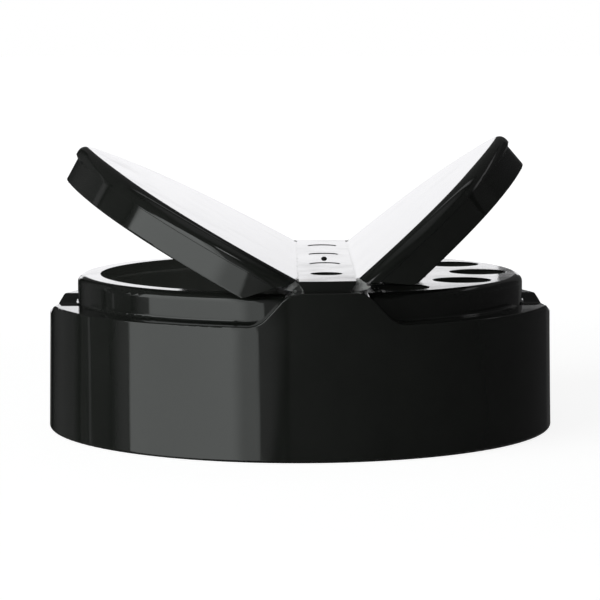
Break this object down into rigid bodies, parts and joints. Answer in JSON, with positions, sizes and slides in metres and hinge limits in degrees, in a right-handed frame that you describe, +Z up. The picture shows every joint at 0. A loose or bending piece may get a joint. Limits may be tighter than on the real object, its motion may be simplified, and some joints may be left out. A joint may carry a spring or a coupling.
{
  "type": "spice dispensing cap",
  "caption": "Round black screw cap for a spice jar, with a spoon opening and a sprinkle grid, each closed by a flap on a living hinge.",
  "frame": {"origin": "on the jar's axis at the skirt's bottom rim", "axes": "+Z up along the jar's axis, +X towards the sprinkle holes, -X towards the spoon opening, Y along the hinge bar"},
  "size_m": [0.066, 0.066, 0.0378],
  "materials": {
    "black_plastic": "glossy black polypropylene, as moulded",
    "hinge_plastic": "thin black polypropylene, slightly whitened where it bends"
  },
  "bodies": {
    "cap": {"cap_body": "black_plastic", "spoon_hinge_web": "hinge_plastic", "sprinkle_hinge_web": "hinge_plastic"},
    "spoon_flap": {"spoon_flap": "black_plastic"},
    "sprinkle_flap": {"sprinkle_flap": "black_plastic"}
  },
  "joints": [
    {"name": "spoon_flap_hinge", "type": "hinge", "parent": "cap", "child": "spoon_flap", "pos_m": [-0.00052, 0, 0.0217], "axis": [0, 1, 0], "range_deg": [-28.6, 66.4], "deforming": ["spoon_hinge_web"]},
    {"name": "sprinkle_flap_hinge", "type": "hinge", "parent": "cap", "child": "sprinkle_flap", "pos_m": [0.00685, 0, 0.0217], "axis": [0, -1, 0], "range_deg": [-40.4, 54.6], "deforming": ["sprinkle_hinge_web"]}
  ]
}
